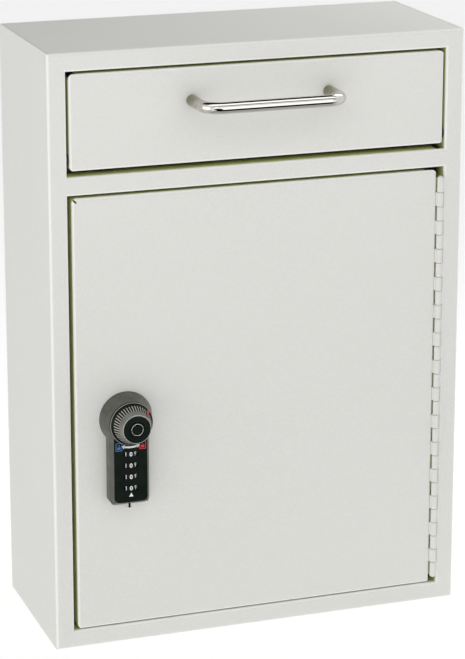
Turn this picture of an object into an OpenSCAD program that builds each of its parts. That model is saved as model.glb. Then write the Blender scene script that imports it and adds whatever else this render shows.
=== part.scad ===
// Steel wall-mounted parcel drop box: a folded cabinet with a tilt-out deposit
// flap above a hinged door, which a four-wheel combination lock secures.
// Frame: origin at the centre of the cabinet's underside, +Z up, -Y is the
// front, +Y is the wall side. All sizes are in millimetres.

/* [Cabinet] */
// Width of the cabinet
cabinet_w = 292; // [280:1:310]
// Depth of the cabinet, from the front face to the wall
cabinet_d = 122; // [118:1:150]
// Height of the cabinet
cabinet_h = 411; // [400:1:440]
// Thickness of the sheet steel
sheet_t = 1.2; // [1:0.1:1.4]
// Outer radius of the folded edges
bend_r = 2; // [1.8:0.1:2.2]
// Width of the rims and of the rail between the two openings
rim_w = 12.6; // [12:0.2:14]
// Depth of the folded returns around both openings
return_d = 15; // [14.5:0.5:16]
// Height of the flap opening
flap_opening_h = 69.7; // [68:0.1:72]
// Distance between the wall holes, side to side
wall_hole_dx = 200; // [160:10:220]
// Distance between the wall holes, top to bottom
wall_hole_dz = 300; // [240:10:320]
// Diameter of the wall holes
wall_hole_d = 7; // [5:0.5:8]

/* [Door] */
// Gap between the door and the left side of its opening
door_gap_left = 2.8; // [2.5:0.1:3.5]
// Gap between the door and the right side of its opening, which holds the hinge
door_gap_right = 5.6; // [5.2:0.1:5.8]
// Gap above the door
door_gap_top = 1.9; // [1.5:0.1:2.5]
// Gap below the door
door_gap_bottom = 0.8; // [0.6:0.1:1.5]
// Depth of the folded flanges of the door and of the flap
flange_d = 12; // [11:0.5:12.5]
// Radius of the corners of the door and of the flap, seen from the front
corner_r = 3.2; // [2.6:0.1:3.4]

/* [Hinge] */
// Number of hinge knuckles on both leaves together
knuckle_count = 29; // [21:2:29]
// Distance from one hinge knuckle to the next
knuckle_pitch = 10; // [8:0.5:10]
// Outer diameter of the hinge knuckles
knuckle_d = 4.4; // [4.2:0.1:4.8]
// Diameter of the hinge pin
hinge_pin_d = 2.4; // [2:0.1:2.6]

/* [Flap] */
// Gap at both sides of the flap and above it
flap_gap = 1.8; // [1.6:0.1:2.2]
// Gap below the flap
flap_gap_bottom = 3.8; // [3.6:0.1:4.2]
// Length of the sloping tray behind the flap
tray_length = 58; // [45:1:60]
// Slope of the tray below the horizontal
tray_slope = 30; // [25:1:32]
// Opening angle of the flap
flap_opening_angle = 50; // [40:1:52]

/* [Handle] */
// Distance between the two feet of the handle
handle_span = 96; // [64:32:160]
// Diameter of the handle's rod
handle_rod_d = 8; // [6:0.5:9]
// Distance from the flap to the outside of the handle
handle_reach = 35; // [30:1:40]
// Radius of the handle's bends, at the middle of the rod
handle_bend_r = 12; // [8:1:14]

/* [Lock] */
// Distance from the middle of the cabinet to the knob, to the left
lock_offset = 95.7; // [90:0.1:100]
// Height of the knob above the underside of the cabinet
lock_z = 161; // [150:1:200]
// Diameter of the round foot of the lock
rosette_d = 37; // [36:0.5:38]
// Width of the lock body at the door
lock_body_w = 27.8; // [27:0.2:29]
// Length of the lock body below the knob's centre
lock_body_drop = 58.5; // [58:0.5:60]
// Distance from one code wheel to the next
wheel_pitch = 8; // [7.8:0.1:8.1]
// Length of the cam, from its centre to its tip
cam_length = 42; // [42:0.5:46]

/* [Hidden] */
$fn = 64;

// Paint and metal colours
body_paint = [0.85, 0.85, 0.83];
zinc = [0.62, 0.63, 0.64];
black_plastic = [0.08, 0.09, 0.09];
rubber = [0.12, 0.12, 0.12];

// Cabinet faces
half_w = cabinet_w / 2;
front_y = -cabinet_d / 2;
back_y = cabinet_d / 2;
fold_d = 4;
wall_y = front_y + fold_d;
inner_bend_r = bend_r - sheet_t;
seam_w = 0.4;
seam_d = 0.6;
cut = 1;

// Openings in the front
opening_x = half_w - rim_w;
flap_open_z1 = cabinet_h - rim_w;
flap_open_z0 = flap_open_z1 - flap_opening_h;
door_open_z1 = flap_open_z0 - rim_w;
door_open_z0 = rim_w;
return_y = front_y + return_d;
return_notch_w = 5.6;

// Door
door_x0 = -opening_x + door_gap_left;
door_x1 = opening_x - door_gap_right;
door_z0 = door_open_z0 + door_gap_bottom;
door_z1 = door_open_z1 - door_gap_top;
flange_y = front_y + flange_d;
door_notch_w = 7.6;
flap_notch_w = 5.6;
notch_h = corner_r + 0.4;
slit_w = 1.1;
slit_length = 4.3;

// Door stops on the left return
stop_h = 30;
stop_reach = 9;
stop_z = [door_open_z0 + 45, door_open_z1 - 45];
stop_leg_d = 10;
stop_y = return_y + 0.2;
bumper_h = 14;
bumper_gap = 0.2;

// Hinge
hinge_x = (door_x1 + opening_x) / 2;
hinge_y = front_y - 0.2;
hinge_z0 = door_open_z0 + 5.9;
hinge_length = knuckle_count * knuckle_pitch;
knuckle_gap = 0.5;
pin_dome_h = 1.8;
pin_dome_r = (knuckle_d * knuckle_d / 4 + pin_dome_h * pin_dome_h) / (2 * pin_dome_h);
leaf_t = 1.2;
leaf_d = 10;
leaf_y = hinge_y + knuckle_d / 2 + 0.5;
running_gap = 0.05;

// Flap and its pivot
flap_half_w = opening_x - flap_gap;
flap_z0 = flap_open_z0 + flap_gap_bottom;
flap_z1 = flap_open_z1 - flap_gap;
clip_d = 6.4;
clip_t = 0.8;
clip_room = 0.5;
pivot_y = front_y + 6.5;
pivot_z = flap_z0 + corner_r + clip_d / 2 + clip_room;
pivot_pin_d = 4;
pivot_pin_end = flap_half_w - 3.6;
pivot_bore_length = 30;
pivot_head_d = 8;
pivot_head_t = 1.5;
washer_d = 9;
side_play = 0.15;
cheek_x = flap_half_w - 2 * sheet_t;
cheek_r = flap_z1 - corner_r - pivot_z;
stop_angle = atan((return_y - pivot_y) / (flap_open_z1 - pivot_z));
lug_angle = flap_opening_angle + stop_angle + 0.25;
lug_sweep = 8;
lug_r = cheek_r + 9.5;
tray_tab = 10.5;
tray_lip = 5;
tray_half_w = flap_half_w - sheet_t - 0.5;
pad_half_w = 6;
pad_x = 105;
pad_rise = 0.2;
pad_y0 = flange_y + 0.6;
pad_d = 2.3;

// Handle
handle_z = flap_z0 + 42;
rod_r = handle_rod_d / 2;
bar_y = front_y - handle_reach + rod_r;
handle_leg = handle_reach - rod_r - handle_bend_r;
handle_screw_d = 4;
handle_screw_length = 10;
handle_screw_head_d = 8;
handle_screw_head_t = 2.4;

// Lock, in its own axes: x right, y up and z out of the door, from the knob's
// centre on the face of the door
rosette_proud = 12;
rosette_top_d = 30;
lock_face_w = 23;
lock_side_proud = 7;
lock_body_proud = 10.2;
lock_corner_r = 4.5;
faceplate_t = 1;
faceplate_drop = 56;
faceplate_corner_r = 3.8;
faceplate_top_r = 15.6;
window_w = 10.3;
window_h = 3.3;
barrel_d = 18;
barrel_length = 14.8;
barrel_clear = 0.2;
wheel_count = 4;
wheel_first_y = -22.1;
wheel_flat_r = 5.5;
wheel_sides = 10;
wheel_r = wheel_flat_r / cos(180 / wheel_sides);
wheel_t = 3;
wheel_proud = 5.95;
wheel_slot_r = 6.1;
wheel_slot_h = 3.5;
wheel_pin_d = 3;
wheel_pin_y0 = -48.8;
wheel_pin_y1 = -18.8;
button_d = 4;
button_y0 = -lock_body_drop - 2.6;
button_y1 = -50.9;
button_collar_d = 5.4;
button_collar_y = -53.5;
button_collar_t = 1.2;
button_room_y1 = -49.2;
button_proud = 6;
lock_nut_flats = 24;
lock_nut_t = 4;
lock_screw_x = 10;
lock_screw_y = -34;
lock_screw_d = 3;
lock_screw_depth = 5;
lock_screw_head_d = 6;
lock_screw_head_t = 2;

// Knob, spindle and cam, on the same axes
knob_z0 = 12.3;
knob_rim_z = 14.2;
knob_rim_r = 14.8;
knob_skirt_r = 13.9;
knob_neck_z = 24.8;
knob_neck_r = 9.9;
knob_z1 = 26.4;
cap_r = 9.3;
cap_z0 = 25.2;
cap_z1 = 27;
sleeve_r = 5.2;
sleeve_z0 = 15;
sleeve_z1 = 27.2;
plug_r = 4.6;
plug_z1 = 27.05;
key_groove_r0 = 3.1;
key_groove_r1 = 4.1;
key_groove_depth = 3;
key_notch_w = 1.2;
spindle_r = 4;
spindle_clear = 0.5;
spindle_square = 6;
spindle_thread_r = 3;
cam_z1 = -15.3;
cam_t = 2;
cam_z0 = cam_z1 - cam_t;
cam_w = 12;
cam_hub_r = 8;
cam_nut_flats = 10;
cam_nut_t = 4;
spindle_end_z = cam_z0 - 4.7;

// ---- Shared shapes ----

// Section of a sheet with both edges folded back from a flat face at y = 0
module bent_outline(across, depth, r) {
    translate([-across / 2, r]) square([across, depth - r]);
    translate([-across / 2 + r, 0]) square([across - 2 * r, r]);
    for (side = [-1, 1]) {
        translate([side * (across / 2 - r), r]) circle(r = r);
    }
}

// Block whose front face is at y = 0 and whose four front edges are folds
module bent_block(width, height, depth, r) {
    intersection() {
        linear_extrude(height, center = true) bent_outline(width, depth, r);
        rotate([0, 90, 0]) linear_extrude(width, center = true) bent_outline(height, depth, r);
    }
}

// Section of a window whose edges fold back into the opening
module flared_outline(across, depth, r) {
    translate([-across / 2, 0]) square([across, depth]);
    difference() {
        translate([-across / 2 - r, -cut]) square([across + 2 * r, cut + r]);
        for (side = [-1, 1]) {
            translate([side * (across / 2 + r), r]) circle(r = r);
        }
    }
}

// Empty space of a window in the front, with folded edges on all four sides
module window_space(z0, z1) {
    width = 2 * opening_x;
    height = z1 - z0;
    translate([0, front_y, (z0 + z1) / 2]) {
        intersection() {
            linear_extrude(height + 2 * bend_r, center = true)
                flared_outline(width, return_d + cut, bend_r);
            rotate([0, 90, 0])
                linear_extrude(width + 2 * bend_r, center = true)
                    flared_outline(height, return_d + cut, bend_r);
        }
    }
}

// Rectangle with round corners, centred
module rounded_rectangle(width, height, r) {
    square([width, height - 2 * r], center = true);
    square([width - 2 * r, height], center = true);
    for (x = [-1, 1], y = [-1, 1]) {
        translate([x * (width / 2 - r), y * (height / 2 - r)]) circle(r = r);
    }
}

// Solid of a pan before it is hollowed, centred on x and z, with its face at y = 0
module pan_block(width, height, depth, fold_r, round_r) {
    intersection() {
        bent_block(width, height, depth, fold_r);
        rotate([-90, 0, 0]) linear_extrude(depth) rounded_rectangle(width, height, round_r);
    }
}

// Folded pan: a front sheet with a flange around it
module pan(x0, x1, z0, z1) {
    translate([(x0 + x1) / 2, front_y, (z0 + z1) / 2]) {
        difference() {
            pan_block(x1 - x0, z1 - z0, flange_d, bend_r, corner_r);
            translate([0, sheet_t, 0])
                pan_block(x1 - x0 - 2 * sheet_t, z1 - z0 - 2 * sheet_t, flange_d,
                    inner_bend_r, corner_r - sheet_t);
        }
    }
}

// Diagonal mitre slit at the upper left corner of the door
module corner_slit() {
    translate([door_x0, front_y - cut, door_z1])
        rotate([0, 45, 0])
            translate([0, 0, -slit_w / 2]) cube([slit_length, cut + bend_r + 1, slit_w]);
}

// Corner relief in the upper flange of a pan, from x on and down from its top edge z1
module flange_notch(x, width, z1) {
    translate([x, front_y + bend_r, z1 - notch_h]) cube([width, flange_d, notch_h + cut]);
}

// Grooves along the four welded corners of the cabinet
module seam_grooves() {
    for (side = [-1, 1], z = [-cut, cabinet_h - seam_d]) {
        translate([side * (half_w - sheet_t - seam_w / 2) - seam_w / 2, front_y + bend_r, z])
            cube([seam_w, cabinet_d, seam_d + cut]);
    }
}

// Places a child on the lock's own axes
module at_lock() {
    translate([-lock_offset, front_y, lock_z]) rotate([90, 0, 0]) children();
}

// Places a child on the flap's pivot, with x to the rear, y up and z along +X
module at_pivot(x) {
    translate([x, pivot_y, pivot_z]) rotate([90, 0, 90]) children();
}

// Hexagonal nut with a round hole, standing on z = 0
module hex_nut(flats, thickness, hole_d) {
    difference() {
        cylinder(d = flats / cos(30), h = thickness, $fn = 6);
        translate([0, 0, -cut]) cylinder(d = hole_d, h = thickness + 2 * cut);
    }
}

// Round bar along the lock's y axis, from y0 to y1, at a height z above the door
module lock_bar(d, y0, y1, z, sides = $fn) {
    translate([0, y1, z]) rotate([90, 0, 0]) cylinder(d = d, h = y1 - y0, $fn = sides);
}

// ---- Cabinet ----

module face_frame() {
    color(body_paint)
        difference() {
            union() {
                translate([0, front_y, cabinet_h / 2]) {
                    difference() {
                        bent_block(cabinet_w, cabinet_h, fold_d, bend_r);
                        translate([0, sheet_t, 0])
                            bent_block(cabinet_w - 2 * sheet_t, cabinet_h - 2 * sheet_t,
                                fold_d, inner_bend_r);
                    }
                }
                opening_returns(door_open_z0, door_open_z1);
                opening_returns(flap_open_z0, flap_open_z1);
            }
            window_space(door_open_z0, door_open_z1);
            window_space(flap_open_z0, flap_open_z1);
            return_notch();
            seam_grooves();
            pivot_holes(pivot_pin_d);
        }
}

// Block around a window, which the window's space leaves as four thin returns
module opening_returns(z0, z1) {
    translate([-opening_x - sheet_t, front_y, z0 - sheet_t])
        cube([2 * (opening_x + sheet_t), return_d, z1 - z0 + 2 * sheet_t]);
}

// Corner relief in the return below the flap, at its right end
module return_notch() {
    translate([opening_x - return_notch_w, front_y + bend_r, flap_open_z0 - sheet_t - cut])
        cube([return_notch_w, return_d, sheet_t + 2 * cut]);
}

// Holes on the flap's pivot axis, through everything near the side returns
module pivot_holes(d) {
    for (side = [-1, 1]) {
        at_pivot(side * opening_x - pivot_bore_length / 2) cylinder(d = d, h = pivot_bore_length);
    }
}

module side_wall(x) {
    color(body_paint)
        translate([x, wall_y, 0]) cube([sheet_t, back_y - wall_y, cabinet_h]);
}

module flat_wall(z) {
    color(body_paint)
        difference() {
            translate([-half_w + sheet_t, wall_y, z])
                cube([cabinet_w - 2 * sheet_t, back_y - wall_y, sheet_t]);
            seam_grooves();
        }
}

module back_panel() {
    color(body_paint)
        difference() {
            translate([-half_w + sheet_t, back_y - sheet_t, sheet_t])
                cube([cabinet_w - 2 * sheet_t, sheet_t, cabinet_h - 2 * sheet_t]);
            for (x = [-1, 1], z = [-1, 1]) {
                translate([x * wall_hole_dx / 2, back_y + cut, cabinet_h / 2 + z * wall_hole_dz / 2])
                    rotate([90, 0, 0]) cylinder(d = wall_hole_d, h = sheet_t + 2 * cut);
            }
        }
}

// Angle brackets on the hidden side of the left return, which stop the door when it shuts
module door_stops() {
    color(body_paint)
        for (z = stop_z) {
            translate([-opening_x - 2 * sheet_t, stop_y + sheet_t - stop_leg_d, z - stop_h / 2])
                cube([sheet_t, stop_leg_d, stop_h]);
            translate([-opening_x - 2 * sheet_t, stop_y, z - stop_h / 2])
                cube([stop_reach + 2 * sheet_t, sheet_t, stop_h]);
        }
}

module door_bumpers() {
    color(rubber)
        for (z = stop_z) {
            translate([-opening_x + 1, flange_y + bumper_gap, z - bumper_h / 2])
                cube([stop_reach - 2, stop_y - flange_y - bumper_gap, bumper_h]);
        }
}

// Pads on the lower return, on which the tray of the shut flap rests
module flap_bumpers() {
    color(rubber)
        for (side = [-1, 1]) {
            translate([side * pad_x - pad_half_w, pad_y0, flap_open_z0])
                cube([2 * pad_half_w, pad_d, flap_gap_bottom + pad_rise]);
        }
}

// ---- Hinge ----

// One leaf with every second knuckle; wall_x is the face that it is welded to,
// inward is +1 or -1 towards the hinge's axis, and the tabs that carry the
// knuckles start at tab_y
module hinge_leaf(wall_x, inward, first, bore_d, tab_y) {
    color(body_paint)
        difference() {
            union() {
                leaf_plate(wall_x, inward, leaf_y, leaf_d, hinge_z0, hinge_length);
                for (i = [first : 2 : knuckle_count - 1]) {
                    z = hinge_z0 + i * knuckle_pitch + knuckle_gap / 2;
                    h = knuckle_pitch - knuckle_gap;
                    translate([hinge_x, hinge_y, z]) cylinder(d = knuckle_d, h = h);
                    leaf_plate(wall_x, inward, tab_y, leaf_y - tab_y + 0.5, z, h);
                }
            }
            translate([hinge_x, hinge_y, hinge_z0 - cut])
                cylinder(d = bore_d, h = hinge_length + 2 * cut);
        }
}

module leaf_plate(wall_x, inward, y, depth, z, h) {
    translate([wall_x + (inward > 0 ? 0 : -leaf_t), y, z]) cube([leaf_t, depth, h]);
}

module hinge_frame_leaf() {
    hinge_leaf(opening_x, -1, 0, hinge_pin_d, hinge_y);
}

module hinge_door_leaf() {
    hinge_leaf(door_x1, 1, 1, hinge_pin_d + 2 * running_gap, hinge_y + knuckle_d / 4);
}

// Pin with a domed head at both ends
module hinge_pin() {
    color(body_paint)
        translate([hinge_x, hinge_y, hinge_z0]) {
            cylinder(d = hinge_pin_d, h = hinge_length);
            translate([0, 0, hinge_length - knuckle_gap / 2]) pin_dome();
            translate([0, 0, knuckle_gap / 2]) mirror([0, 0, 1]) pin_dome();
        }
}

module pin_dome() {
    intersection() {
        translate([0, 0, pin_dome_h - pin_dome_r]) sphere(r = pin_dome_r);
        cylinder(d = knuckle_d, h = pin_dome_h);
    }
}

// ---- Flap pivots ----

// Shoulder pins riveted into the side returns of the flap opening
module flap_pivot_pins() {
    color(zinc)
        for (side = [-1, 1]) {
            mirror([side < 0 ? 1 : 0, 0, 0]) {
                at_pivot(pivot_pin_end)
                    cylinder(d = pivot_pin_d, h = opening_x + sheet_t - pivot_pin_end);
                at_pivot(opening_x + sheet_t) cylinder(d = pivot_head_d, h = pivot_head_t);
            }
        }
}

// Ring around both pivot pins, starting at x on the right and mirrored on the left
module pivot_rings(x, d, thickness) {
    for (side = [-1, 1]) {
        mirror([side < 0 ? 1 : 0, 0, 0]) {
            at_pivot(x) {
                difference() {
                    cylinder(d = d, h = thickness);
                    translate([0, 0, -cut]) cylinder(d = pivot_pin_d, h = thickness + 2 * cut);
                }
            }
        }
    }
}

module flap_washers() {
    color(black_plastic) pivot_rings(flap_half_w + side_play, washer_d, flap_gap - 2 * side_play);
}

module flap_clips() {
    color(zinc) pivot_rings(pivot_pin_end + 0.2, clip_d, clip_t);
}

// ---- Door ----

module door_panel() {
    color(body_paint)
        difference() {
            pan(door_x0, door_x1, door_z0, door_z1);
            corner_slit();
            flange_notch(door_x1 - door_notch_w, door_notch_w + cut, door_z1);
            at_lock() {
                translate([0, 0, -bend_r]) cylinder(d = barrel_d + 2 * barrel_clear, h = 2 * bend_r);
                for (side = [-1, 1]) {
                    translate([side * lock_screw_x, lock_screw_y, -bend_r])
                        cylinder(d = lock_screw_d + 2 * barrel_clear, h = 2 * bend_r);
                }
            }
        }
}

// Outline of the lock body seen from the front, with round lower corners
module lock_body_outline(width, drop, r) {
    translate([-width / 2, -drop + r]) square([width, drop - r]);
    translate([-width / 2 + r, -drop]) square([width - 2 * r, drop]);
    for (side = [-1, 1]) {
        translate([side * (width / 2 - r), -drop + r]) circle(r = r);
    }
}

// Lock body with straight sides near the door and sloping sides above them
module lock_body() {
    slope = (lock_body_w - lock_face_w) / 2;
    half = lock_body_w / 2;
    intersection() {
        linear_extrude(lock_body_proud)
            lock_body_outline(lock_body_w, lock_body_drop, lock_corner_r);
        rotate([90, 0, 0])
            linear_extrude(lock_body_drop)
                polygon([[-half, 0], [-half, lock_side_proud], [-half + slope, lock_body_proud],
                    [half - slope, lock_body_proud], [half, lock_side_proud], [half, 0]]);
        translate([-half, 0, 0])
            rotate([90, 0, 90])
                linear_extrude(lock_body_w)
                    polygon([[0, 0], [-lock_body_drop, 0], [-lock_body_drop, lock_side_proud],
                        [-lock_body_drop + slope, lock_body_proud], [0, lock_body_proud]]);
    }
}

// Height of a code wheel's middle on the lock's y axis, counted from the top
function wheel_y(i) = wheel_first_y - i * wheel_pitch;

module lock_housing() {
    color([0.35, 0.36, 0.33])
        at_lock() {
            difference() {
                union() {
                    lock_body();
                    cylinder(d1 = rosette_d, d2 = rosette_top_d, h = rosette_proud);
                    translate([0, 0, -barrel_length]) cylinder(d = barrel_d, h = barrel_length + cut);
                }
                translate([0, 0, -barrel_length - cut])
                    cylinder(r = spindle_r + spindle_clear, h = barrel_length + rosette_proud + 2 * cut);
                for (i = [0 : wheel_count - 1]) {
                    wheel_slot(wheel_y(i));
                }
                lock_bar(wheel_pin_d, wheel_pin_y0, wheel_pin_y1, wheel_proud);
                lock_bar(button_d + 2 * running_gap, -lock_body_drop - cut, button_collar_y,
                    button_proud);
                lock_bar(button_collar_d + 0.4, button_collar_y - 0.2, button_room_y1, button_proud);
                for (side = [-1, 1]) {
                    translate([side * lock_screw_x, lock_screw_y, -cut])
                        cylinder(d = lock_screw_d, h = lock_screw_depth + cut);
                }
            }
        }
}

// Space for one code wheel, open to the door side and to the window
module wheel_slot(y) {
    lock_bar(2 * wheel_slot_r, y - wheel_slot_h / 2, y + wheel_slot_h / 2, wheel_proud);
    translate([-wheel_slot_r, y - wheel_slot_h / 2, -cut])
        cube([2 * wheel_slot_r, wheel_slot_h, wheel_proud + cut]);
    translate([-window_w / 2, y - wheel_slot_h / 2, wheel_proud])
        cube([window_w, wheel_slot_h, wheel_slot_r]);
}

module lock_faceplate() {
    color(black_plastic)
        at_lock() {
            difference() {
                translate([0, 0, lock_body_proud])
                    linear_extrude(faceplate_t)
                        lock_body_outline(lock_face_w, faceplate_drop, faceplate_corner_r);
                cylinder(r = faceplate_top_r, h = rosette_proud + cut);
                for (i = [0 : wheel_count - 1]) {
                    translate([-window_w / 2, wheel_y(i) - window_h / 2, 0])
                        cube([window_w, window_h, rosette_proud + cut]);
                }
            }
        }
}

module wheel_spindle() {
    color(zinc) at_lock() lock_bar(wheel_pin_d, wheel_pin_y0, wheel_pin_y1, wheel_proud);
}

module lock_nut() {
    color(zinc)
        at_lock()
            translate([0, 0, -sheet_t - lock_nut_t]) hex_nut(lock_nut_flats, lock_nut_t, barrel_d);
}

// Two screws that hold the lock body to the door from inside
module lock_screws() {
    color(zinc)
        at_lock()
            for (side = [-1, 1]) {
                translate([side * lock_screw_x, lock_screw_y, -sheet_t - lock_screw_head_t]) {
                    cylinder(d = lock_screw_head_d, h = lock_screw_head_t);
                    cylinder(d = lock_screw_d, h = lock_screw_head_t + sheet_t + lock_screw_depth);
                }
            }
}

// ---- Knob, key plug and cam ----

module lock_knob() {
    color([0.25, 0.26, 0.24])
        at_lock()
            difference() {
                rotate_extrude()
                    polygon([[0, knob_z0], [knob_rim_r, knob_z0], [knob_rim_r, knob_rim_z],
                        [knob_skirt_r, knob_rim_z + 0.4], [knob_neck_r, knob_neck_z],
                        [knob_neck_r, knob_z1], [0, knob_z1]]);
                translate([0, 0, cap_z0]) cylinder(r = cap_r, h = knob_z1);
                translate([0, 0, sleeve_z0]) cylinder(r = sleeve_r, h = knob_z1);
                cylinder(r = spindle_r, h = sleeve_z0 - 1);
            }
}

module knob_cap() {
    color(black_plastic)
        at_lock()
            difference() {
                translate([0, 0, cap_z0]) cylinder(r = cap_r, h = cap_z1 - cap_z0);
                cylinder(r = sleeve_r, h = cap_z1 + cut);
            }
}

module key_sleeve() {
    color("silver")
        at_lock()
            difference() {
                translate([0, 0, sleeve_z0]) cylinder(r = sleeve_r, h = sleeve_z1 - sleeve_z0);
                cylinder(r = plug_r + running_gap, h = sleeve_z1 + cut);
            }
}

// Plug for the round emergency key: a ring groove with a small notch beside it
module key_plug() {
    color(black_plastic)
        at_lock()
            difference() {
                translate([0, 0, sleeve_z0 + 0.1]) cylinder(r = plug_r, h = plug_z1 - sleeve_z0 - 0.1);
                difference() {
                    translate([0, 0, plug_z1 - key_groove_depth])
                        cylinder(r = key_groove_r1, h = key_groove_depth + cut);
                    cylinder(r = key_groove_r0, h = plug_z1 + 2 * cut);
                }
                rotate([0, 0, 215])
                    translate([key_groove_r0, -key_notch_w / 2, plug_z1 - key_groove_depth])
                        cube([plug_r, key_notch_w, key_groove_depth + cut]);
            }
}

module lock_spindle() {
    color(zinc)
        at_lock() {
            translate([0, 0, cam_z1]) cylinder(r = spindle_r, h = sleeve_z0 - 1 - cam_z1);
            translate([-spindle_square / 2, -spindle_square / 2, cam_z0])
                cube([spindle_square, spindle_square, cam_t + cut]);
            translate([0, 0, spindle_end_z])
                cylinder(r = spindle_thread_r, h = cam_z1 - spindle_end_z);
        }
}

// Latch cam, which hangs down while the lock is open
module cam() {
    color(zinc)
        at_lock()
            translate([0, 0, cam_z0])
                difference() {
                    linear_extrude(cam_t) {
                        circle(r = cam_hub_r);
                        translate([-cam_w / 2, -cam_length + cam_w / 2])
                            square([cam_w, cam_length - cam_w / 2]);
                        translate([0, -cam_length + cam_w / 2]) circle(d = cam_w);
                    }
                    translate([-spindle_square / 2, -spindle_square / 2, -cut])
                        cube([spindle_square, spindle_square, cam_t + 2 * cut]);
                }
}

module cam_nut() {
    color(zinc)
        at_lock()
            translate([0, 0, cam_z0 - cam_nut_t])
                hex_nut(cam_nut_flats, cam_nut_t, 2 * spindle_thread_r);
}

// ---- Code wheels and reset button ----

module code_wheel(i) {
    color(black_plastic)
        at_lock()
            difference() {
                lock_bar(2 * wheel_r, wheel_y(i) - wheel_t / 2, wheel_y(i) + wheel_t / 2,
                    wheel_proud, wheel_sides);
                lock_bar(wheel_pin_d + 2 * running_gap, wheel_y(i) - wheel_t, wheel_y(i) + wheel_t,
                    wheel_proud);
            }
}

module reset_button() {
    color(zinc)
        at_lock() {
            lock_bar(button_d, button_y0, button_y1, button_proud);
            lock_bar(button_collar_d, button_collar_y, button_collar_y + button_collar_t,
                button_proud);
        }
}

// ---- Flap ----

module flap_front() {
    color(body_paint)
        difference() {
            pan(-flap_half_w, flap_half_w, flap_z0, flap_z1);
            flange_notch(-flap_half_w - cut, flap_notch_w + cut, flap_z1);
            pivot_holes(pivot_pin_d + 2 * running_gap);
            handle_screw_shanks(bend_r + cut);
        }
}

// Sloping tray that the parcel slides down, with a lip along its rear edge
module flap_tray() {
    tray_y = front_y + bend_r + tray_tab;
    tray_top = flap_z0 + corner_r;
    color(body_paint)
        union() {
            translate([-tray_half_w, front_y + bend_r, tray_top - sheet_t])
                cube([2 * tray_half_w, tray_tab, sheet_t]);
            translate([-tray_half_w, tray_y, tray_top]) {
                rotate([-tray_slope, 0, 0]) {
                    translate([0, 0, -sheet_t]) cube([2 * tray_half_w, tray_length, sheet_t]);
                    translate([0, tray_length - sheet_t, -tray_lip])
                        cube([2 * tray_half_w, sheet_t, tray_lip]);
                }
            }
        }
}

// Side plate of the flap around its pivot, with the lug that stops it when open
module flap_cheek(x) {
    front = front_y + bend_r - pivot_y;
    floor = flap_z0 + corner_r - pivot_z;
    bend = front + tray_tab;
    far = 2 * cheek_r;
    lug_end = lug_angle + lug_sweep;
    color(body_paint)
        at_pivot(x)
            linear_extrude(sheet_t)
                difference() {
                    union() {
                        intersection() {
                            circle(r = cheek_r);
                            polygon([[front, floor], [bend, floor],
                                [bend + far * cos(tray_slope), floor - far * sin(tray_slope)],
                                [far, far], [front, far]]);
                        }
                        intersection() {
                            circle(r = lug_r);
                            polygon([[0, 0], far * [sin(lug_end), cos(lug_end)],
                                far * [sin(lug_angle), cos(lug_angle)]]);
                        }
                    }
                    circle(d = pivot_pin_d + 2 * running_gap);
                }
}

// Bent wire handle with threaded feet
module handle() {
    color("gainsboro")
        difference() {
            union() {
                for (side = [-1, 1]) {
                    translate([side * handle_span / 2, front_y, handle_z])
                        rotate([90, 0, 0]) cylinder(r = rod_r, h = handle_leg);
                    translate([side * (handle_span / 2 - handle_bend_r), front_y - handle_leg, handle_z])
                        rotate([0, 0, side > 0 ? -90 : 180])
                            rotate_extrude(angle = 90)
                                translate([handle_bend_r, 0]) circle(r = rod_r);
                }
                translate([-handle_span / 2 + handle_bend_r, bar_y, handle_z])
                    rotate([0, 90, 0]) cylinder(r = rod_r, h = handle_span - 2 * handle_bend_r);
            }
            handle_screw_shanks(handle_screw_length);
        }
}

// Shanks of the handle screws, from behind the flap's sheet to the depth given
module handle_screw_shanks(depth) {
    for (side = [-1, 1]) {
        translate([side * handle_span / 2, front_y + sheet_t, handle_z])
            rotate([90, 0, 0]) cylinder(d = handle_screw_d, h = depth);
    }
}

module handle_screws() {
    color(zinc) {
        handle_screw_shanks(handle_screw_length);
        for (side = [-1, 1]) {
            translate([side * handle_span / 2, front_y + sheet_t + handle_screw_head_t, handle_z])
                rotate([90, 0, 0]) cylinder(d = handle_screw_head_d, h = handle_screw_head_t);
        }
    }
}

// ---- The whole box, one node at a time ----

face_frame();
side_wall(-half_w);  // left_wall
side_wall(half_w - sheet_t);  // right_wall
flat_wall(cabinet_h - sheet_t);  // top_wall
flat_wall(0);  // bottom_wall
back_panel();
door_stops();
door_bumpers();
flap_bumpers();
hinge_frame_leaf();
hinge_pin();
flap_pivot_pins();
flap_washers();
flap_clips();
door_panel();
hinge_door_leaf();
lock_housing();
lock_faceplate();
wheel_spindle();
lock_nut();
lock_screws();
flap_front();
flap_tray();
flap_cheek(-cheek_x - sheet_t);  // flap_cheek_left
flap_cheek(cheek_x);  // flap_cheek_right
handle();
handle_screws();
lock_knob();
knob_cap();
key_sleeve();
lock_spindle();
cam();
cam_nut();
key_plug();
code_wheel(0);  // code_wheel_1
code_wheel(1);  // code_wheel_2
code_wheel(2);  // code_wheel_3
code_wheel(3);  // code_wheel_4
reset_button();
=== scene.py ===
import math

import bmesh
import bpy
from mathutils import Matrix, Vector


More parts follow.
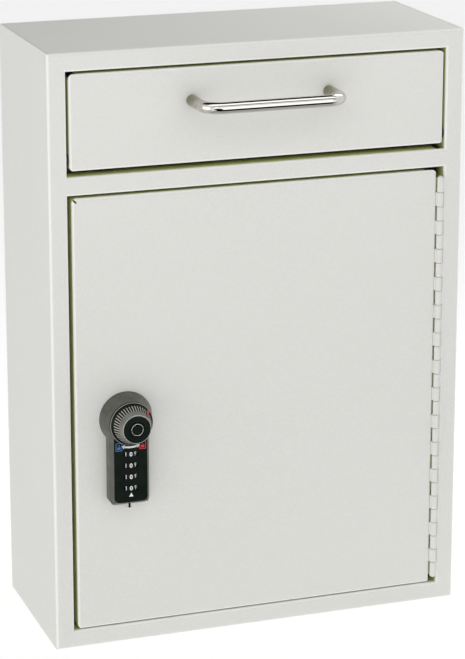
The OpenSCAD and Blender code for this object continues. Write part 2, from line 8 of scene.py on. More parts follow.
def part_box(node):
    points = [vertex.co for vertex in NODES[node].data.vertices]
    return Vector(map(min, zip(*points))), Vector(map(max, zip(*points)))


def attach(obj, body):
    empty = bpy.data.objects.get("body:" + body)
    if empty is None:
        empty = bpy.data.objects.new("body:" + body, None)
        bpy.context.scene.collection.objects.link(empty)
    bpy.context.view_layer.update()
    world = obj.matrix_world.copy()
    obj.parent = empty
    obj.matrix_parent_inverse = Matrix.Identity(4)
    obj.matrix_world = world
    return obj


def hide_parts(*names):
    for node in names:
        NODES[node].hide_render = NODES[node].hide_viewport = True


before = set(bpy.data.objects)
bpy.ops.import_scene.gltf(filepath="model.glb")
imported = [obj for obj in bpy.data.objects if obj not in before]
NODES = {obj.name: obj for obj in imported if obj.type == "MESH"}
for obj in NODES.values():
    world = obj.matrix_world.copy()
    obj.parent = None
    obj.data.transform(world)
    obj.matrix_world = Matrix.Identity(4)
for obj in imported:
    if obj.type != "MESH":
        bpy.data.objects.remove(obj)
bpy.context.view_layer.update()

MM = 0.001
# Width of a border along the cabinet's outer edges that keeps the plain paint, without the painted
# gap shade
OUTER_FOLD = 6 * MM

# ---- Places, all worked out from the CAD frame ----

CABINET_LOW, CABINET_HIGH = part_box("face_frame")
CABINET_H = CABINET_HIGH.z - CABINET_LOW.z
FRONT_Y = CABINET_LOW.y
KNOB_LOW, KNOB_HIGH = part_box("lock_knob")
KNOB_X = (KNOB_LOW.x + KNOB_HIGH.x) / 2
KNOB_Z = (KNOB_LOW.z + KNOB_HIGH.z) / 2

# Lock axes: x right, y up, z out of the door, in metres from the knob's centre on the door
LOCK = Matrix((
    (1, 0, 0, KNOB_X),
    (0, 0, -1, FRONT_Y),
    (0, 1, 0, KNOB_Z),
    (0, 0, 0, 1),
))


# ---- Materials ----


class Paint:
    """One node material, with short calls for the nodes that the finishes below share."""

    def __init__(self, name, **values):
        self.material = bpy.data.materials.new(name)
        self.material.use_nodes = True
        self.tree = self.material.node_tree
        self.shader = self.tree.nodes["Principled BSDF"]
        self.place = self.add("ShaderNodeTexCoord").outputs["Object"]
        for socket, value in values.items():
            self.shader.inputs[socket.replace("_", " ")].default_value = value

    def add(self, kind, **settings):
        node = self.tree.nodes.new(kind)
        for name, value in settings.items():
            setattr(node, name, value)
        return node

    def link(self, source, target):
        self.tree.links.new(source, target)

    def noise(self, size, detail=2.0, roughness=0.5, stretch=(1, 1, 1)):
        """Noise whose blobs are about size metres across."""
        mapping = self.add("ShaderNodeMapping")
        mapping.inputs["Scale"].default_value = [1 / (size * s) for s in stretch]
        texture = self.add("ShaderNodeTexNoise")
        texture.inputs["Scale"].default_value = 1.0
        texture.inputs["Detail"].default_value = detail
        texture.inputs["Roughness"].default_value = roughness
        self.link(self.place, mapping.inputs["Vector"])
        self.link(mapping.outputs["Vector"], texture.inputs["Vector"])
        return texture.outputs["Fac"]

    def span(self, value, low, high, to_low=0.0, to_high=1.0, smooth=False):
        """Maps value from low...high to to_low...to_high."""
        node = self.add("ShaderNodeMapRange")
        if smooth:
            node.interpolation_type = "SMOOTHSTEP"
        for socket, number in (
            ("From Min", low), ("From Max", high), ("To Min", to_low), ("To Max", to_high),
        ):
            node.inputs[socket].default_value = number
        self.link(value, node.inputs["Value"])
        return node.outputs["Result"]

    def mix(self, factor, first, second, blend="MIX"):
        """Colour mix; first and second are colours or sockets, and factor a number or a socket."""
        node = self.add("ShaderNodeMix", data_type="RGBA", blend_type=blend)
        for socket, value in ((0, factor), (6, first), (7, second)):
            if isinstance(value, bpy.types.NodeSocket):
                self.link(value, node.inputs[socket])
            elif socket == 0:
                node.inputs[0].default_value = value
            else:
                node.inputs[socket].default_value = (*value, 1)
        return node.outputs[2]

    def maths(self, operation, first, second=0.0):
        """A maths node on two numbers or sockets."""
        node = self.add("ShaderNodeMath", operation=operation)
        for socket, value in ((0, first), (1, second)):
            if isinstance(value, bpy.types.NodeSocket):
                self.link(value, node.inputs[socket])
            else:
                node.inputs[socket].default_value = value
        return node.outputs[0]

    def depth(self):
        """The distance behind the cabinet's front face, in metres."""
        split = self.add("ShaderNodeSeparateXYZ")
        self.link(self.place, split.inputs[0])
        return self.maths("SUBTRACT", split.outputs["Y"], FRONT_Y)

    def recess(self, back=None):
        """Mask of the painted gap shade: 1 on what lies behind the front face inside the openings,
        and 0 on the outside.

        back is the depth at which it ends, in metres.
        """
        split = self.add("ShaderNodeSeparateXYZ")
        self.link(self.place, split.inputs[0])
        across = self.maths("ABSOLUTE", split.outputs["X"])
        up = self.maths("ABSOLUTE", self.maths("SUBTRACT", split.outputs["Z"], CABINET_H / 2))
        inside = self.maths(
            "MULTIPLY", self.maths("LESS_THAN", across, CABINET_HIGH.x - OUTER_FOLD),
            self.maths("LESS_THAN", up, CABINET_H / 2 - OUTER_FOLD))
        depth = self.depth()
        mask = self.maths(
            "MULTIPLY", self.span(depth, 1.6 * MM, 3.2 * MM, smooth=True), inside)
        if back:
            end = self.span(depth, back - 2 * MM, back + 1 * MM, 1.0, 0.0, smooth=True)
            mask = self.maths("MULTIPLY", mask, end)
        return mask

    def fold(self):
        """Mask of the painted fold highlight: 1 on the rounded folds around the front face, and 0
        elsewhere.
        """
        depth = self.depth()
        return self.maths(
            "MULTIPLY", self.span(depth, 0.03 * MM, 0.25 * MM, smooth=True),
            self.span(depth, 1.2 * MM, 2.0 * MM, 1.0, 0.0, smooth=True))

    def colour(self, source):
        self.link(source, self.shader.inputs["Base Color"])

    def roughness(self, source):
        self.link(source, self.shader.inputs["Roughness"])

    def bump(self, height, distance, strength=1.0):
        node = self.add("ShaderNodeBump")
        node.inputs["Strength"].default_value = strength
        node.inputs["Distance"].default_value = distance
        self.link(height, node.inputs["Height"])
        self.link(node.outputs["Normal"], self.shader.inputs["Normal"])


def powder_coat(name, colour, gap_shade_tint=None, shade_back=None):
    """Fine-textured powder coat.

    The third argument is painted shade: an olive tint, copying the shaded gaps, on what lies
    behind the front face, inside the openings, as far as the depth given by the fourth, and
    darker still from 8 to 16 mm deep. With it, the front folds are smoother and paler too:
    a painted highlight.
    """
    paint = Paint(name, Metallic=0.0, Specular_IOR_Level=0.25)
    shade = paint.mix(
        paint.span(paint.noise(0.11, 1.0), 0.3, 0.7), [0.975 * c for c in colour], colour)
    speckle = paint.noise(0.0011, 2.0, 0.6)
    shade = paint.mix(
        paint.span(speckle, 0.35, 0.65), shade, [1.03 * c for c in colour])
    gloss = paint.span(paint.noise(0.004), 0.3, 0.7, 0.42, 0.54)
    if gap_shade_tint:
        # Painted highlight: paler, smoother paint on the rounded front folds
        fold = paint.fold()
        shade = paint.mix(fold, shade, FOLD_HIGHLIGHT_COLOUR)
        gloss = paint.maths("SUBTRACT", gloss, paint.maths("MULTIPLY", fold, 0.18))
        # Painted shade in the gaps: the olive tint, darker still from 8 to 16 mm deep
        deep_shade = paint.span(paint.depth(), 8 * MM, 16 * MM, smooth=True)
        gap_shade = paint.mix(deep_shade, gap_shade_tint, [0.4 * c for c in gap_shade_tint])
        shade = paint.mix(paint.recess(shade_back), shade, paint.mix(1.0, shade, gap_shade, "MULTIPLY"))
    paint.colour(shade)
    paint.roughness(gloss)
    peel = paint.maths("ADD", paint.noise(0.0015, 1.0), paint.maths("MULTIPLY", speckle, 0.5))
    paint.bump(peel, 0.05 * MM, 0.5)
    return paint.material


def polished_chrome(name, leg_shade=None):
    """Bright plating with faint drawing lines along the rod.

    The second argument paints shade and a beige reflection onto the handle's legs towards their
    feet, with a cloudy edge.
    """
    paint = Paint(name, Metallic=1.0)
    lines = paint.noise(0.0012, 2.0, stretch=(40, 1, 1))
    shade = paint.mix(
        paint.span(lines, 0.3, 0.7), (0.62, 0.605, 0.56), (0.70, 0.685, 0.64))
    if leg_shade:
        # Painted shade and painted reflection: darker, beige colour towards the feet
        cloud = paint.span(paint.noise(0.004, 2.0), 0.3, 0.7, 0.0, 8 * MM)
        foot_shade = paint.span(
            paint.maths("ADD", paint.depth(), cloud), -24 * MM, -2 * MM, smooth=True)
        shade = paint.mix(foot_shade, shade, leg_shade)
    paint.colour(shade)
    paint.roughness(paint.span(lines, 0.3, 0.7, 0.02, 0.06))
    return paint.material


def zinc_plate(name):
    """Dull plating with soft clouds, for screws, nuts, pins and the cam."""
    paint = Paint(name, Metallic=1.0)
    cloud = paint.noise(0.003, 3.0)
    paint.colour(paint.mix(paint.span(cloud, 0.3, 0.7), (0.50, 0.50, 0.48), (0.66, 0.66, 0.65)))
    paint.roughness(paint.span(cloud, 0.3, 0.7, 0.28, 0.42))
    paint.bump(paint.noise(0.0005), 0.01 * MM, 0.4)
    return paint.material


def enamel(name, dark, light, roughness, gloss=0.5, grain=0.0008):
    """Sprayed enamel or satin moulding with soft clouding and a fine grain."""
    paint = Paint(name, Metallic=0.0, Specular_IOR_Level=gloss)
    cloud = paint.noise(0.009, 2.0)
    paint.colour(paint.mix(paint.span(cloud, 0.35, 0.65), dark, light))
    fine = paint.noise(grain, 2.0)
    paint.roughness(paint.span(fine, 0.3, 0.7, 0.9 * roughness, 1.1 * roughness))
    paint.bump(fine, 0.03 * MM, 0.35)
    return paint.material


PAINT_COLOUR = (0.800, 0.798, 0.765)
# Paler paint on the rounded front folds: a painted highlight
FOLD_HIGHLIGHT_COLOUR = (0.94, 0.94, 0.915)
# Painted shade: olive tints of the frame's and of the door's and flap's edges, which copy the
# shaded narrow gaps
FRAME_GAP_SHADE = (0.84, 0.89, 0.40)
PANEL_GAP_SHADE = (0.76, 0.80, 0.42)
PANEL_GAP_SHADE_BACK = 9 * MM
# Painted shade and painted reflection of the flap on the handle's legs near their feet
ROD_LEG_SHADE = (0.25, 0.235, 0.155)

FINISH = {
    # The cabinet's and the panels' coats carry the painted fold highlight and the painted gap
    # shade
    "paint": powder_coat("cabinet_powder_coat_painted_light", PAINT_COLOUR, FRAME_GAP_SHADE),
    "panel": powder_coat("panel_powder_coat_painted_light", PAINT_COLOUR, PANEL_GAP_SHADE, PANEL_GAP_SHADE_BACK),
    "wall": powder_coat("wall_powder_coat", PAINT_COLOUR),
    "chrome": polished_chrome("polished_chrome"),
    "rod": polished_chrome("polished_chrome_rod_painted_shade", ROD_LEG_SHADE),
    "zinc": zinc_plate("zinc_plate"),
    "rubber": enamel("black_rubber", (0.018, 0.018, 0.018), (0.03, 0.03, 0.03), 0.8),
    "nylon": enamel("black_nylon", (0.010, 0.010, 0.010), (0.018, 0.018, 0.018), 0.5),
    "lock": enamel("lock_enamel", (0.082, 0.085, 0.068), (0.122, 0.125, 0.102), 0.38, 0.4),
    "knob": enamel("knob_satin", (0.14, 0.145, 0.125), (0.19, 0.195, 0.17), 0.36),
    # Lit and shaded copies of the knob's plastic: painted highlight on the crests and the rim's
    # edge, painted shade in the grooves
    "rib": enamel("knob_rib_painted_highlight", (0.36, 0.36, 0.32), (0.47, 0.47, 0.42), 0.34),
    "groove": enamel("knob_groove", (0.003, 0.003, 0.003), (0.006, 0.006, 0.005), 0.6, 0.1),
    "black": enamel("gloss_black", (0.003, 0.007, 0.005), (0.006, 0.012, 0.008), 0.24, 0.14),
    "wheel": enamel("wheel_black", (0.004, 0.005, 0.0045), (0.007, 0.009, 0.008), 0.30, 0.2),
    "white_ink": enamel("white_ink", (0.82, 0.82, 0.82), (0.90, 0.90, 0.90), 0.5),
    "blue_ink": enamel("blue_ink", (0.05, 0.16, 0.42), (0.07, 0.20, 0.50), 0.5),
    "red_ink": enamel("red_ink", (0.62, 0.03, 0.06), (0.72, 0.05, 0.08), 0.5),
}

# Finish of each CAD node, also of those that a finer piece replaces further down
NODE_FINISH = {
    "paint": ("face_frame", "hinge_frame_leaf", "hinge_door_leaf", "hinge_pin"),
    "panel": ("door_panel", "flap_front"),
    "wall": (
        "left_wall", "right_wall", "top_wall", "bottom_wall", "back_panel", "door_stops",
        "flap_tray", "flap_cheek_left", "flap_cheek_right",
    ),
    "chrome": ("handle", "key_sleeve", "reset_button"),
    "zinc": (
        "flap_pivot_pins", "flap_clips", "wheel_spindle", "lock_nut", "lock_screws",
        "handle_screws", "lock_spindle", "cam", "cam_nut",
    ),
    "rubber": ("door_bumpers", "flap_bumpers"),
    "nylon": ("flap_washers",),
    "lock": ("lock_housing",),
    "knob": ("lock_knob",),
    "black": ("lock_faceplate", "knob_cap", "key_plug"),
    "wheel": ("code_wheel_1", "code_wheel_2", "code_wheel_3", "code_wheel_4"),
}

for finish, names in NODE_FINISH.items():
    for node_name in names:
        for material_slot in NODES[node_name].material_slots:
            material_slot.material = FINISH[finish]


# ---- Small edge rounds on the CAD nodes ----


def round_edges(names, width, segments=2, angle=35):
    """Bevels the edges of some nodes that are sharper than angle, in degrees."""
    for name in names:
        bevel = NODES[name].modifiers.new("edge_round", "BEVEL")
        bevel.width = width
        bevel.segments = segments
        bevel.limit_method = "ANGLE"
        bevel.angle_limit = math.radians(angle)
        bevel.harden_normals = True


# ---- Mesh helpers for the pieces that are made here ----


def piece(name, mesh, body, materials):
    """Links a finished mesh as a piece that rides on a body."""
    made = bpy.data.objects.new(name, mesh)
    bpy.context.scene.collection.objects.link(made)
    for finish in materials:
        mesh.materials.append(FINISH[finish])
    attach(made, body)
    return made


def mesh_from(name, bm, matrix=None, smooth_angle=None):
    """Turns a bmesh into a mesh; edges flatter than smooth_angle, in degrees, are smooth."""
    bmesh.ops.recalc_face_normals(bm, faces=bm.faces)
    if matrix is not None:
        bm.transform(matrix)
    if smooth_angle is not None:
        for face in bm.faces:
            face.smooth = True
        for edge in bm.edges:
            if len(edge.link_faces) == 2:
                edge.smooth = edge.calc_face_angle(0) < math.radians(smooth_angle)
    mesh = bpy.data.meshes.new(name)
    bm.to_mesh(mesh)
    bm.free()
    return mesh


def arc(centre, radius, start, end, steps):
    """Points of an arc in a plane; angles in degrees."""
    angles = [math.radians(start + (end - start) * i / steps) for i in range(steps + 1)]
    return [(centre[0] + radius * math.cos(a), centre[1] + radius * math.sin(a)) for a in angles]


def revolve(name, profile, columns=96, smooth_angle=40):
    """Ring solid: a closed profile of (radius, height) in millimetres about the lock's z."""
    bm = bmesh.new()
    rings = []
    for k in range(columns):
        a = 2 * math.pi * k / columns
        rings.append([
            bm.verts.new((r * math.cos(a) * MM, r * math.sin(a) * MM, z * MM))
            for r, z in profile])
    for k, ring in enumerate(rings):
        after = rings[(k + 1) % columns]
        for i in range(len(profile)):
            j = (i + 1) % len(profile)
            bm.faces.new((ring[i], ring[j], after[j], after[i]))
    return mesh_from(name, bm, LOCK, smooth_angle)


def prism(bm, outline, z0, z1):
    """Closed prism over a convex outline in millimetres, on the lock's axes."""
    low = [bm.verts.new((x * MM, y * MM, z0 * MM)) for x, y in outline]
    high = [bm.verts.new((x * MM, y * MM, z1 * MM)) for x, y in outline]
    bm.faces.new(low)
    bm.faces.new(high)
    for i in range(len(outline)):
        j = (i + 1) % len(outline)
        bm.faces.new((low[i], low[j], high[j], high[i]))


def band(bm, outer, inner, z0, z1, closed=True):
    """Closed strip between two outlines of equal length, in millimetres."""
    levels = [
        [bm.verts.new((x * MM, y * MM, z * MM)) for x, y in line]
        for line, z in ((outer, z0), (outer, z1), (inner, z1), (inner, z0))
    ]
    count = len(outer)
    for i in range(count if closed else count - 1):
        j = (i + 1) % count
        for a, b in zip(levels, levels[1:] + levels[:1]):
            bm.faces.new((a[i], a[j], b[j], b[i]))
    if not closed:
        for i in (0, count - 1):
            bm.faces.new([level[i] for level in levels])


# ---- Lock ----

# The knob's finishes, and the material index of each but the first; the crest finish is a painted
# highlight and the groove finish painted shade
KNOB_FINISHES = ("knob", "groove", "rib", "zinc", "black")
GROOVE_SHADE, CREST_HIGHLIGHT, LIP, SHADOW = 1, 2, 3, 4

RIB_COUNT = 42
GROOVE_DEPTH = 0.6
# Columns of one rib and groove: share of the pitch, depth share, and finish of the face after it
RIB_COLUMNS = (
    (0.0, 0.0, GROOVE_SHADE), (0.06, 1.0, GROOVE_SHADE), (0.56, 1.0, GROOVE_SHADE), (0.62, 0.0, CREST_HIGHLIGHT),
    (0.81, -0.1, CREST_HIGHLIGHT),
)
# How far the printed marks sink into the faceplate and rise from it, in millimetres
INK_SINK = 0.02
INK_RISE = 0.06
DIGIT_SIZE = 4.1 * MM


def knob_mesh():
    """Knob with a rim, a ribbed skirt with painted highlights on the crests and painted shade in
    the grooves, a smooth shoulder and a bright lip around the cap.
    """
    base, rim_z, top = 12.3, 14.2, 26.4
    rim_r, skirt_r, neck_r, lip_r, bore_r = 14.8, 13.7, 9.9, 9.3, 5.2
    skirt_z, neck_z = 14.6, 24.8
    rib_from, rib_to = 0.15, 0.62

    def skirt(t):
        return (skirt_r + (neck_r - skirt_r) * t, skirt_z + (neck_z - skirt_z) * t)

    outside = [(rim_r - 0.3, base)] + arc((rim_r - 0.3, base + 0.3), 0.3, -60, 0, 2)
    rim_from = len(outside)
    outside += arc((rim_r - 0.25, rim_z - 0.25), 0.25, 0, 90, 4)
    rim_to = len(outside) - 1
    outside += [skirt(0.0), skirt(rib_from)]
    ribbed_from = len(outside)
    rib_rows = 6
    outside += [
        skirt(rib_from + (rib_to - rib_from) * (i + 0.15) / rib_rows) for i in range(rib_rows + 1)]
    ribbed_to = len(outside)
    outside += [skirt(rib_to + 0.06), skirt(0.8), (neck_r, neck_z), (neck_r, top - 0.35)]
    lip_from = len(outside) - 1
    outside += [(neck_r - 0.2, top), (lip_r + 0.1, top), (lip_r, top - 0.15)]
    lip_to = len(outside) - 1
    profile = outside + [(lip_r, 25.2), (bore_r, 25.2), (bore_r, 15.0), (4.0, 15.0), (4.0, base)]
    bm = bmesh.new()
    rings = []
    finishes = []
    for rib in range(RIB_COUNT):
        for share, cut, finish in RIB_COLUMNS:
            a = 2 * math.pi * (rib + share) / RIB_COUNT
            ring = []
            for i, (r, z) in enumerate(profile):
                fade = min(1.0, 2.0 * (ribbed_to - 1 - i) / rib_rows)
                depth = GROOVE_DEPTH * cut * fade if ribbed_from <= i < ribbed_to else 0.0
                ring.append(bm.verts.new((
                    (r - depth) * math.cos(a) * MM, (r - depth) * math.sin(a) * MM, z * MM)))
            rings.append(ring)
            finishes.append(finish)
    for k, ring in enumerate(rings):
        after = rings[(k + 1) % len(rings)]
        for i in range(len(profile)):
            j = (i + 1) % len(profile)
            face = bm.faces.new((ring[i], ring[j], after[j], after[i]))
            if ribbed_from - 1 <= i < ribbed_to:
                face.material_index = finishes[k]
            elif i < ribbed_from - 1:
                # The rim's rounded edge gets the painted crest highlight
                face.material_index = CREST_HIGHLIGHT if rim_from <= i < rim_to else SHADOW
            elif lip_from <= i < lip_to:
                face.material_index = LIP
    return mesh_from("lock_knob_ribbed", bm, LOCK, 35)


def make_knob():
    """The knob, its cap, the sleeve around the key plug, and a bright ring on the plug."""
    knob = piece("ribbed_knob", knob_mesh(), "knob", KNOB_FINISHES)
    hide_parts("lock_knob")
    cap_profile = (
        [(5.3, 25.2), (9.25, 25.2)] + arc((8.75, 26.5), 0.5, 0, 90, 5)
        + [(7.4, 26.92), (6.2, 26.92)] + arc((5.7, 26.6), 0.4, 90, 180, 3))
    cap = piece("round_cap", revolve("cap", cap_profile), "knob", ("black",))
    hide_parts("knob_cap")
    sleeve_profile = (
        [(4.65, 15.0), (5.2, 15.0)] + arc((4.95, 26.95), 0.25, 0, 180, 6) + [(4.65, 26.9)])
    sleeve = piece("sleeve_ring", revolve("sleeve", sleeve_profile), "knob", ("black",))
    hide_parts("key_sleeve")
    ring_profile = arc((3.95, 27.0), 0.22, 0, 360, 12)[:-1]
    piece("key_ring", revolve("key_ring", ring_profile), "key", ("chrome",))


def make_index_mark():
    """Red index line on the knob's skirt, at about two o'clock."""
    bm = bmesh.new()
    angle, half_width = math.radians(38), 0.75
    across = Vector((-math.sin(angle), math.cos(angle), 0))
    out = Vector((math.cos(angle), math.sin(angle), 0))
    points = []
    for r, z in ((14.1, 14.9), (11.5, 21.6)):
        for side in (-1, 1):
            for lift in (-0.2, 0.12):
                points.append(out * (r + lift) + across * side * half_width + Vector((0, 0, z)))
    verts = [bm.verts.new(p * MM) for p in points]
    for quad in (
        (0, 1, 3, 2), (4, 5, 7, 6), (0, 1, 5, 4), (2, 3, 7, 6), (0, 2, 6, 4), (1, 3, 7, 5),
    ):
        bm.faces.new([verts[i] for i in quad])
    piece("index_mark", mesh_from("index_mark", bm, LOCK), "knob", ("red_ink",))


def square_outline(cx, cy, half_w, half_h, r, steps=3):
    """Rectangle with rounded corners."""
    points = []
    for sx, sy, start in ((1, 1, 0), (-1, 1, 90), (-1, -1, 180), (1, -1, 270)):
        corner = (cx + sx * (half_w - r), cy + sy * (half_h - r))
        points += arc(corner, r, start, start + 90, steps)
    return points


def ink_levels():
    """Bottom and top of the printed marks on the faceplate, in millimetres."""
    face = (FRONT_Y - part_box("lock_faceplate")[0].y) / MM
    return face - INK_SINK, face + INK_RISE


def padlock_sign(name, cx, cy, finish, shackle_lift):
    """Generic padlock in a rounded frame; an open lock has its shackle lifted."""
    bm = bmesh.new()
    z0, z1 = ink_levels()
    band(bm, square_outline(cx, cy, 2.3, 2.9, 0.6), square_outline(cx, cy, 1.8, 2.4, 0.3), z0, z1)
    prism(bm, square_outline(cx, cy - 0.95, 1.15, 0.85, 0.2), z0, z1)
    shackle = (cx, cy - 0.1 + shackle_lift)
    outer = [(cx + 0.85, cy - 0.2)] + arc(shackle, 0.85, 0, 180, 8)
    inner = [(cx + 0.45, cy - 0.2)] + arc(shackle, 0.45, 0, 180, 8)
    band(bm, outer, inner, z0, z1, closed=False)
    piece(name, mesh_from(name, bm, LOCK), "door", (finish,))


def make_faceplate_marks():
    """Open and shut signs, a double arrow between them, and a pointer below the wheels."""
    z0, z1 = ink_levels()
    padlock_sign("open_sign", -8.3, -16.4, "blue_ink", 0.7)
    padlock_sign("shut_sign", 8.3, -16.4, "red_ink", 0.0)
    bm = bmesh.new()
    band(
        bm, arc((0, 0), 17.8, 253, 287, 10), arc((0, 0), 16.6, 253, 287, 10), z0, z1,
        closed=False)
    for side in (-1, 1):
        lean = math.radians(270 + side * 15)
        tip = math.radians(270 + side * 22)
        prism(bm, [
            (18.7 * math.cos(lean), 18.7 * math.sin(lean)),
            (17.2 * math.cos(tip), 17.2 * math.sin(tip)),
            (15.8 * math.cos(lean), 15.8 * math.sin(lean))], z0, z1)
    prism(bm, [(-1.5, -52.1), (1.5, -52.1), (0, -49.3)], z0, z1)
    piece(
        "faceplate_marks", mesh_from("faceplate_marks", bm, LOCK), "door",
        ("white_ink",))


def digit_mesh(text, size):
    """Mesh of one digit, centred on its own middle, facing +Z."""
    curve = bpy.data.curves.new("digit_curve", "FONT")
    curve.body = text
    curve.size = size
    curve.extrude = 0.05 * MM
    curve.offset = 0.028 * size
    curve.resolution_u = 4
    holder = bpy.data.objects.new("digit_holder", curve)
    bpy.context.scene.collection.objects.link(holder)
    bpy.context.view_layer.update()
    mesh = bpy.data.meshes.new_from_object(holder)
    bpy.data.objects.remove(holder)
    bpy.data.curves.remove(curve)
    xs = [v.co.x for v in mesh.vertices]
    ys = [v.co.y for v in mesh.vertices]
    middle = Vector(((min(xs) + max(xs)) / 2, (min(ys) + max(ys)) / 2, 0))
    mesh.transform(Matrix.Translation(-middle))
    return mesh


def make_wheel_digits(wheel):
    """Digits 0 to 9 on the ten flats of one code wheel; 0 faces the front."""
    low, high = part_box(f"code_wheel_{wheel}")
    centre = (low + high) / 2
    flat = centre.y - low.y
    bm = bmesh.new()
    for digit in range(10):
        a = math.radians(36 * digit)
        out = Vector((-math.sin(a), -math.cos(a), 0))
        right = Vector((math.cos(a), -math.sin(a), 0))
        place = centre + out * flat
        turn = Matrix((
            (right.x, 0, out.x, place.x),
            (right.y, 0, out.y, place.y),
            (right.z, 1, out.z, place.z),
            (0, 0, 0, 1),
        ))
        mesh = digit_mesh(str(digit), DIGIT_SIZE)
        mesh.transform(turn)
        bm.from_mesh(mesh)
        bpy.data.meshes.remove(mesh)
    mesh = bpy.data.meshes.new(f"wheel_digits_{wheel}")
    bm.to_mesh(mesh)
    bm.free()
    piece(f"wheel_digits_{wheel}", mesh, f"wheel_{wheel}", ("white_ink",))


def make_lock():
    make_knob()
    make_index_mark()
    make_faceplate_marks()
    for wheel in range(1, 5):
        make_wheel_digits(wheel)


# ---- Handle ----

HANDLE_LOW, HANDLE_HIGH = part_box("handle")
ROD_R = (HANDLE_HIGH.z - HANDLE_LOW.z) / 2
BEND_R = 12 * MM
BEND_STEPS = 18
ROD_COLUMNS = 64
SCREW_BORE_R = 2 * MM
SCREW_BORE_DEPTH = 10 * MM
FOOT_CHAMFER = 0.3 * MM


def rod_stations():
    """Rings from foot to foot: middle in x and y, outward angle in degrees, and radius."""
    foot_x = HANDLE_HIGH.x - ROD_R
    foot_y = HANDLE_HIGH.y
    bend_x = foot_x - BEND_R
    bend_y = HANDLE_LOW.y + ROD_R + BEND_R
    foot = [
        (-foot_x, foot_y - SCREW_BORE_DEPTH, 180, SCREW_BORE_R),
        (-foot_x, foot_y, 180, SCREW_BORE_R),
        (-foot_x, foot_y, 180, ROD_R - FOOT_CHAMFER),
        (-foot_x, foot_y - FOOT_CHAMFER, 180, ROD_R),
    ]
    for i in range(BEND_STEPS + 1):
        angle = 180 + 90 * i / BEND_STEPS
        turn = math.radians(angle)
        foot.append((
            -bend_x + BEND_R * math.cos(turn), bend_y + BEND_R * math.sin(turn), angle, ROD_R))
    return foot + [(-x, y, 540 - angle, r) for x, y, angle, r in reversed(foot)]


def make_handle():
    """Bent rod with a threaded bore in each foot."""
    middle_z = (HANDLE_HIGH.z + HANDLE_LOW.z) / 2
    turns = [2 * math.pi * k / ROD_COLUMNS for k in range(ROD_COLUMNS)]
    bm = bmesh.new()
    rings = []
    for x, y, angle, r in rod_stations():
        out_x, out_y = math.cos(math.radians(angle)), math.sin(math.radians(angle))
        rings.append([
            bm.verts.new((
                x + r * math.cos(t) * out_x, y + r * math.cos(t) * out_y,
                middle_z + r * math.sin(t)))
            for t in turns])
    for ring, after in zip(rings, rings[1:]):
        for k in range(ROD_COLUMNS):
            j = (k + 1) % ROD_COLUMNS
            bm.faces.new((ring[k], ring[j], after[j], after[k]))
    bm.faces.new(rings[0])
    bm.faces.new(rings[-1])
    rod = piece("handle_rod", mesh_from("handle_rod", bm, None, 40), "flap", ("rod",))
    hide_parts("handle")


# ---- Stage, light and camera ----


FLOOR_HALF = 4.0
FLOOR_DROP = 0.5 * MM
FLOOR_GLOW = 0.43


def make_floor():
    """White floor that glows a little, unseen by the chrome."""
    bm = bmesh.new()
    bmesh.ops.create_grid(bm, x_segments=1, y_segments=1, size=FLOOR_HALF)
    mesh = bpy.data.meshes.new("floor")
    bm.to_mesh(mesh)
    bm.free()
    floor = bpy.data.objects.new("floor", mesh)
    floor.location.z = -FLOOR_DROP
    bpy.context.scene.collection.objects.link(floor)
    paint = Paint("white_floor", Base_Color=(0.9, 0.9, 0.9, 1), Roughness=0.9)
    paint.shader.inputs["Emission Color"].default_value = (1, 1, 1, 1)
    paint.shader.inputs["Emission Strength"].default_value = FLOOR_GLOW
    mesh.materials.append(paint.material)
    floor.visible_glossy = False


def area_light(name, place, aim, width, height, power):
    """Rectangular light; sizes in metres, power in watts."""
    light = bpy.data.lights.new(name, "AREA")
    light.shape = "RECTANGLE"
    light.size = width
    light.size_y = height
    light.energy = power
    holder = bpy.data.objects.new(name, light)
    bpy.context.scene.collection.objects.link(holder)
    holder.location = place
    holder.rotation_euler = (Vector(aim) - Vector(place)).to_track_quat("-Z", "Y").to_euler()


# What chrome reflects, as strips that run from left to right: the angle around the X axis
# in degrees, from straight below, through the front and straight above, to the rear
STRIPS = (
    (-180, 0.4), (-52, 0.5), (-47, 0.01), (-20, 0.01), (-15, 1.7), (20, 1.7),
    (24, 0.05), (58, 0.05), (62, 1.7), (90, 1.7), (94, 0.01), (152, 0.01), (162, 0.40),
)
# Level of the walls at both ends of the strips
SIDE_LEVEL = 0.9
# Direction of a dark panel to the front left and below, for the gloss black parts
DARK_PANEL = (-0.318, -0.915, -0.249)
# Soft light from below, the horizon and above: (share of the height, grey level)
SOFT_STOPS = ((0.0, 0.75), (0.50, 0.72), (0.80, 0.80), (0.90, 0.52), (1.0, 0.45))
SOFT_STRENGTH = 0.79
BACKDROP_STRENGTH = 1.1


def set_stops(ramp, stops):
    """Fills a colour ramp with (position, grey level) stops."""
    while len(ramp.elements) < len(stops):
        ramp.elements.new(0.5)
    for element, (position, level) in zip(ramp.elements, stops):
        element.position = position
        element.color = (level, level, level, 1)


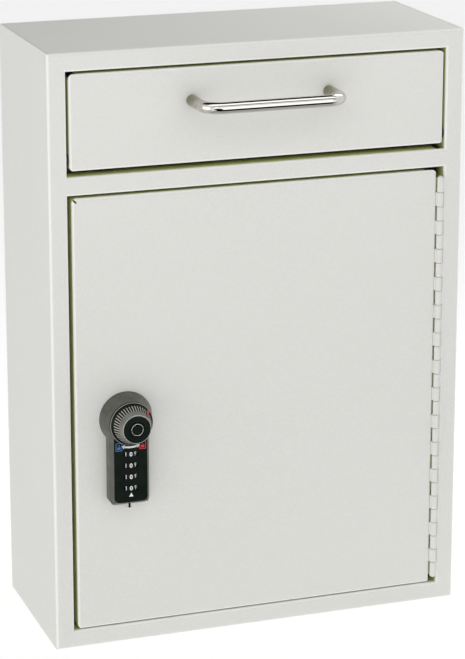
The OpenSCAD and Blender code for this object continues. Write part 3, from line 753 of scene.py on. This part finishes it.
def make_world():
    """White to the camera, a soft gradient for light, and strip lights for reflections."""
    world = bpy.data.worlds.new("studio")
    bpy.context.scene.world = world
    world.use_nodes = True
    tree = world.node_tree

    def add(kind, **settings):
        node = tree.nodes.new(kind)
        for name, value in settings.items():
            setattr(node, name, value)
        return node

    def background(source, strength):
        node = add("ShaderNodeBackground")
        tree.links.new(source, node.inputs["Color"])
        node.inputs["Strength"].default_value = strength
        return node.outputs[0]

    def grey(value, low, high, stops):
        """Grey levels along a value that runs from low to high."""
        span = add("ShaderNodeMapRange")
        span.inputs["From Min"].default_value = low
        span.inputs["From Max"].default_value = high
        ramp = add("ShaderNodeValToRGB")
        set_stops(ramp.color_ramp, stops)
        tree.links.new(value, span.inputs["Value"])
        tree.links.new(span.outputs["Result"], ramp.inputs["Fac"])
        return ramp.outputs["Color"]

    def choose(factor, first, second):
        node = add("ShaderNodeMixShader")
        for socket, source in zip(node.inputs, (factor, first, second)):
            tree.links.new(source, socket)
        return node.outputs[0]

    direction = add("ShaderNodeTexCoord").outputs["Generated"]
    split = add("ShaderNodeSeparateXYZ")
    tree.links.new(direction, split.inputs[0])
    soft = grey(split.outputs["Z"], -1, 1, SOFT_STOPS)
    forward = add("ShaderNodeMath", operation="MULTIPLY")
    forward.inputs[1].default_value = -1
    tree.links.new(split.outputs["Y"], forward.inputs[0])
    around = add("ShaderNodeMath", operation="ARCTAN2")
    tree.links.new(split.outputs["Z"], around.inputs[0])
    tree.links.new(forward.outputs[0], around.inputs[1])
    top_level = max(level for angle, level in STRIPS)
    strips = grey(around.outputs[0], -math.pi, math.pi, [
        (angle / 360 + 0.5, level / top_level) for angle, level in STRIPS])
    facing = add("ShaderNodeVectorMath", operation="DOT_PRODUCT")
    facing.inputs[1].default_value = DARK_PANEL
    tree.links.new(direction, facing.inputs[0])
    panel = grey(facing.outputs["Value"], 0.90, 1.0, ((0.0, 1.0), (0.25, 1.0), (0.5, 0.02)))
    sideways = add("ShaderNodeMath", operation="ABSOLUTE")
    tree.links.new(split.outputs["X"], sideways.inputs[0])
    side = grey(sideways.outputs[0], 0, 1, ((0.0, 0.0), (0.45, 0.0), (0.85, 1.0)))
    walled = add("ShaderNodeMix", data_type="RGBA")
    tree.links.new(side, walled.inputs[0])
    tree.links.new(strips, walled.inputs[6])
    walled.inputs[7].default_value = [SIDE_LEVEL / top_level] * 3 + [1]
    shaded = add("ShaderNodeMix", data_type="RGBA", blend_type="MULTIPLY")
    shaded.inputs[0].default_value = 1
    tree.links.new(walled.outputs[2], shaded.inputs[6])
    tree.links.new(panel, shaded.inputs[7])
    path = add("ShaderNodeLightPath")
    white = add("ShaderNodeBackground")
    white.inputs["Strength"].default_value = BACKDROP_STRENGTH
    white.inputs["Color"].default_value = (1, 1, 1, 1)
    lit = choose(
        path.outputs["Is Glossy Ray"], background(soft, SOFT_STRENGTH),
        background(shaded.outputs[2], top_level))
    seen = choose(path.outputs["Is Camera Ray"], lit, white.outputs[0])
    tree.links.new(seen, tree.nodes["World Output"].inputs["Surface"])


def make_lights():
    middle = Vector((0, FRONT_Y, 0.5 * CABINET_H))
    top = Vector((0, 0, CABINET_H))
    area_light("upper_left", (-0.9, -1.2, 1.2), top, 0.8, 0.8, 0.7)
    area_light("fill_left", (-1.6, -0.4, 0.3), middle, 1.2, 1.2, 4.0)
    area_light("top_right", (0.5, 0.25, 0.8), (0.1, 0, CABINET_H), 0.3, 0.3, 1.6)
    flap = (0, FRONT_Y, 0.9 * CABINET_H)
    area_light("high_front", (0.0, -0.36, 0.56), flap, 0.5, 0.15, 0.21)
    low_corner = (-0.08, FRONT_Y, 0.04)
    area_light("low_left", (-0.5, -0.6, 0.04), low_corner, 0.3, 0.15, 0.2)


# Camera: where it aims, as shares of the cabinet's height, its distance and its angles
AIM_X = -0.0485
AIM_Z = 0.6927
DISTANCE = 4.1649
AZIMUTH = math.radians(-19.18)
ELEVATION = math.radians(14.39)
LENS = 140.13
SHIFT_Y = -0.1517


def make_camera():
    """Long lens from the front left, with a vertical shift that frames the cabinet."""
    camera = bpy.data.cameras.new("camera")
    holder = bpy.data.objects.new("camera", camera)
    bpy.context.scene.collection.objects.link(holder)
    back = Vector((
        math.sin(AZIMUTH) * math.cos(ELEVATION),
        -math.cos(AZIMUTH) * math.cos(ELEVATION),
        math.sin(ELEVATION),
    ))
    aim = Vector((AIM_X * CABINET_H, FRONT_Y, AIM_Z * CABINET_H))
    holder.location = aim + back * DISTANCE * CABINET_H
    holder.rotation_euler = (-back).to_track_quat("-Z", "Y").to_euler()
    camera.sensor_width = 36
    camera.lens = LENS
    camera.shift_y = SHIFT_Y
    bpy.context.scene.camera = holder


make_camera()
make_world()
make_lights()
make_floor()
make_lock()
make_handle()
round_edges(["lock_faceplate"] + [f"code_wheel_{n}" for n in range(1, 5)], 0.12 * MM)
round_edges(["lock_housing"], 0.5 * MM, 3)
bpy.context.scene.view_settings.view_transform = "Standard"
